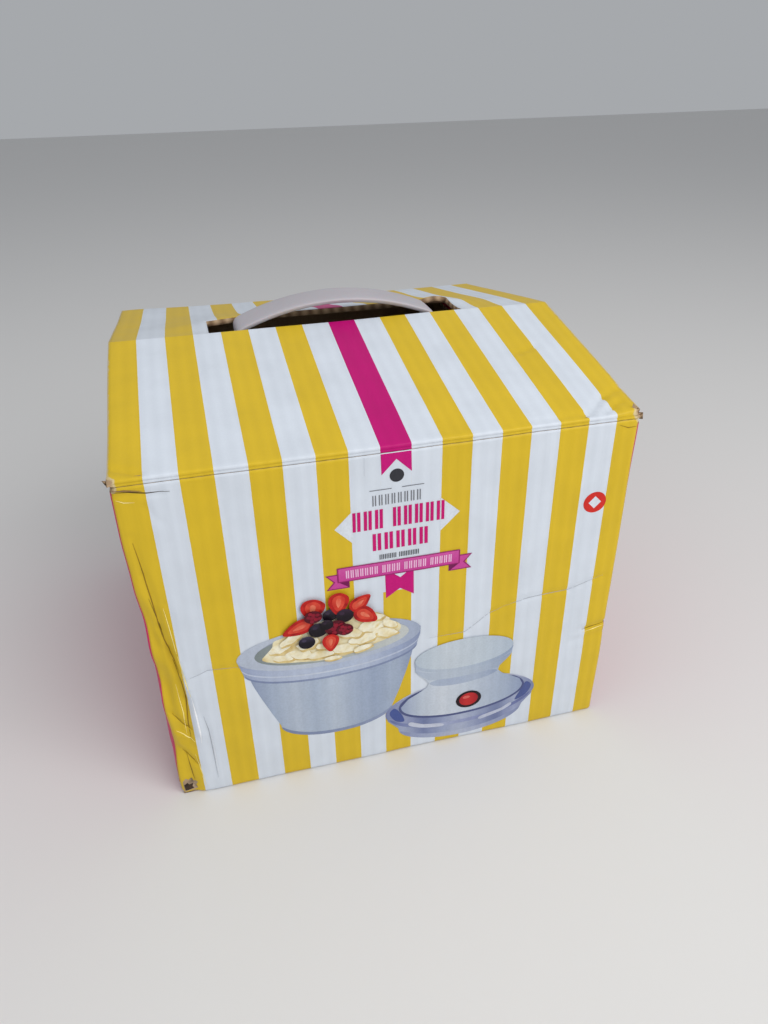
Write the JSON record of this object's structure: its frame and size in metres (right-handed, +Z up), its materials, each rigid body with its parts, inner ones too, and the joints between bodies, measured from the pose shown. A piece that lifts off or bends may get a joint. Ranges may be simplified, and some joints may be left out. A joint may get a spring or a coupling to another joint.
{
  "type": "ice cream maker",
  "caption": "Boxed ice cream maker: striped corrugated carton with a hinged gable lid and carry handle, holding a freezer bowl, clear lid, hourglass motor unit, gears and paddle",
  "frame": {"origin": "centre of the carton's footprint, on the surface it stands on", "axes": "+Z up, front face looks along -Y, +X to the right seen from the front"},
  "size_m": [0.25, 0.25, 0.235],
  "materials": {
    "front_print": "printed or plain corrugated board, matt",
    "side_print": "printed or plain corrugated board, matt",
    "kraft_board": "printed or plain corrugated board, matt",
    "handle_plastic": "as moulded or as made",
    "white_plastic": "as moulded or as made",
    "bowl_aluminium": "as moulded or as made",
    "gel": "as moulded or as made",
    "rubber": "as moulded or as made",
    "clear_plastic": "as moulded or as made",
    "gear_plastic": "as moulded or as made",
    "paddle_plastic": "as moulded or as made",
    "steel": "as moulded or as made",
    "brass": "as moulded or as made",
    "black_plastic": "as moulded or as made",
    "red_plastic": "as moulded or as made"
  },
  "bodies": {
    "carton": {"front_panel": "front_print", "back_panel": "front_print", "left_panel": "side_print", "right_panel": "side_print", "bottom_outer_flaps": "kraft_board", "bottom_inner_flaps": "kraft_board", "glue_tab": "kraft_board", "base_pad": "kraft_board", "bowl_cradle": "kraft_board"},
    "lid": {"lid_front_slope": "front_print", "lid_back_slope": "front_print", "lid_tuck_flap": "kraft_board"},
    "handle": {"carry_handle": "handle_plastic"},
    "left_flap": {"left_dust_flap": "side_print"},
    "right_flap": {"right_dust_flap": "side_print"},
    "bowl": {"bowl_outer_shell": "white_plastic", "bowl_liner": "bowl_aluminium", "freezing_gel": "gel", "bowl_rim_ring": "white_plastic", "bowl_base_cap": "white_plastic", "foot_ring": "rubber"},
    "motor_unit": {"clear_lid": "clear_plastic", "housing_seal": "rubber", "motor_base": "white_plastic", "housing": "white_plastic", "top_cap": "white_plastic", "gearbox_cover": "white_plastic", "shaft_bush": "brass", "idler_pin": "steel", "motor_can": "steel", "motor_end_cap": "black_plastic", "cover_screws": "steel", "base_screws": "steel", "button_bezel": "black_plastic", "button_spring": "steel", "power_switch": "black_plastic", "dc_inlet": "black_plastic"},
    "button": {"power_button": "red_plastic"},
    "pinion_shaft": {"pinion": "brass", "motor_shaft": "steel"},
    "idler": {"idler_gear": "gear_plastic"},
    "churn": {"output_gear": "gear_plastic", "output_shaft": "steel", "paddle": "paddle_plastic"}
  },
  "joints": [
    {"name": "bowl_lift", "type": "slide", "parent": "carton", "child": "bowl", "axis": [0, 0, 1], "range_m": [0, 0.2]},
    {"name": "lid_hinge", "type": "hinge", "parent": "carton", "child": "lid", "pos_m": [0, 0.125, 0.2], "axis": [-1, 0, 0], "range_deg": [0, 190]},
    {"name": "handle_lift", "type": "slide", "parent": "lid", "child": "handle", "axis": [0, 0, 1], "range_m": [-0.008, 0.0045]},
    {"name": "left_flap_hinge", "type": "hinge", "parent": "carton", "child": "left_flap", "pos_m": [-0.122, 0, 0.1939], "axis": [0, 1, 0], "range_deg": [0, 85]},
    {"name": "right_flap_hinge", "type": "hinge", "parent": "carton", "child": "right_flap", "pos_m": [0.122, 0, 0.1939], "axis": [0, -1, 0], "range_deg": [0, 85]},
    {"name": "motor_unit_lift", "type": "slide", "parent": "bowl", "child": "motor_unit", "axis": [0, 0, 1], "range_m": [0, 0.12]},
    {"name": "button_press", "type": "slide", "parent": "motor_unit", "child": "button", "axis": [0, 0.6631, -0.7486], "range_m": [0, 0.0015], "stiffness_N_per_m": 800, "deforming": ["button_spring"]},
    {"name": "churn_spin", "type": "hinge", "parent": "motor_unit", "child": "churn", "pos_m": [0, 0, 0.134], "axis": [0, 0, 1], "continuous": true},
    {"name": "idler_spin", "type": "hinge", "parent": "motor_unit", "child": "idler", "pos_m": [-0.0216, 0, 0.134], "axis": [0, 0, 1], "continuous": true},
    {"name": "pinion_spin", "type": "hinge", "parent": "motor_unit", "child": "pinion_shaft", "pos_m": [-0.0066, 0, 0.134], "axis": [0, 0, 1], "continuous": true}
  ],
  "couplings": [
    {"joint": "lid_hinge", "follows": "bowl_lift", "rad_per_m": 16.5},
    {"joint": "motor_unit_lift", "follows": "bowl_lift", "ratio": 0.599},
    {"joint": "idler_spin", "follows": "churn_spin", "ratio": -3.5},
    {"joint": "pinion_spin", "follows": "churn_spin", "ratio": 14}
  ]
}
